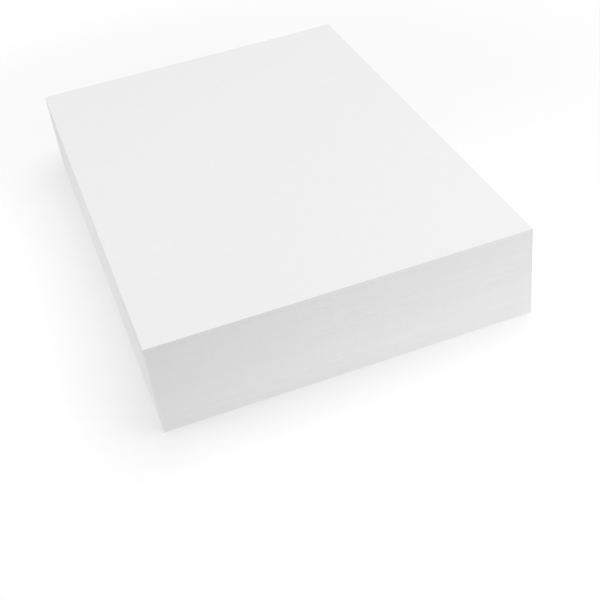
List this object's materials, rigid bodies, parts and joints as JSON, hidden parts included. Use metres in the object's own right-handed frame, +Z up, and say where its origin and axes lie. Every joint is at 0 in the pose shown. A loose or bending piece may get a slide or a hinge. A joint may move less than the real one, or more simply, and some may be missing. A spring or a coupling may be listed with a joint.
{
  "type": "ream of paper",
  "caption": "Unwrapped ream of A4 office paper: loose white sheets squared up into one plain block.",
  "frame": {"origin": "centre of the bottom sheet's underside", "axes": "+X across the sheets' short side, +Y along their long side, +Z up through the pile"},
  "size_m": [0.21, 0.297, 0.056],
  "materials": {
    "paper": "matte, uncoated, bright white"
  },
  "bodies": {
    "root": {"sheet_stack": "paper"}
  },
  "joints": []
}
